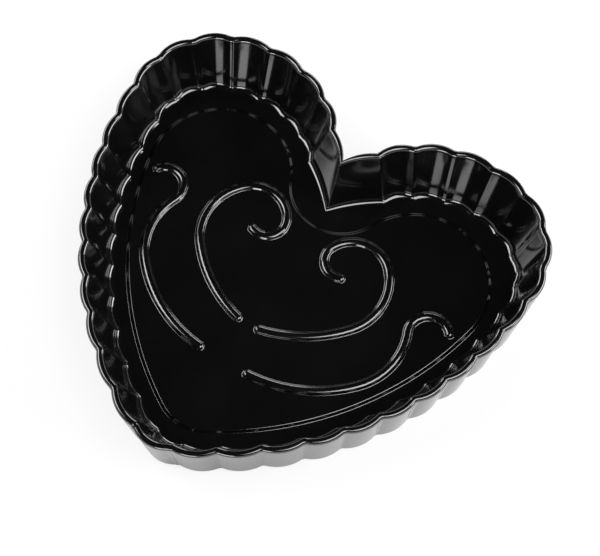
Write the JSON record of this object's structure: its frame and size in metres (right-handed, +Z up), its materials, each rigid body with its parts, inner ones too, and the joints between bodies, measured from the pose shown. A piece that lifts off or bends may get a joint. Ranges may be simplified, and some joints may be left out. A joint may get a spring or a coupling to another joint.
{
  "type": "heart-shaped baking dish",
  "caption": "Heart-shaped baking dish in dark glazed ceramic, with a fluted upright wall, a rounded lip and a raised floor panel with scroll relief.",
  "frame": {"origin": "middle of the dish's outer box, on the plane that it stands on", "axes": "+Z up out of the open top; +X across both lobes; the tip of the heart towards -Y and the cleft towards +Y"},
  "size_m": [0.2684, 0.2423, 0.042],
  "materials": {
    "glaze": "gloss"
  },
  "bodies": {
    "root": {"baking_dish": "glaze"}
  },
  "joints": []
}
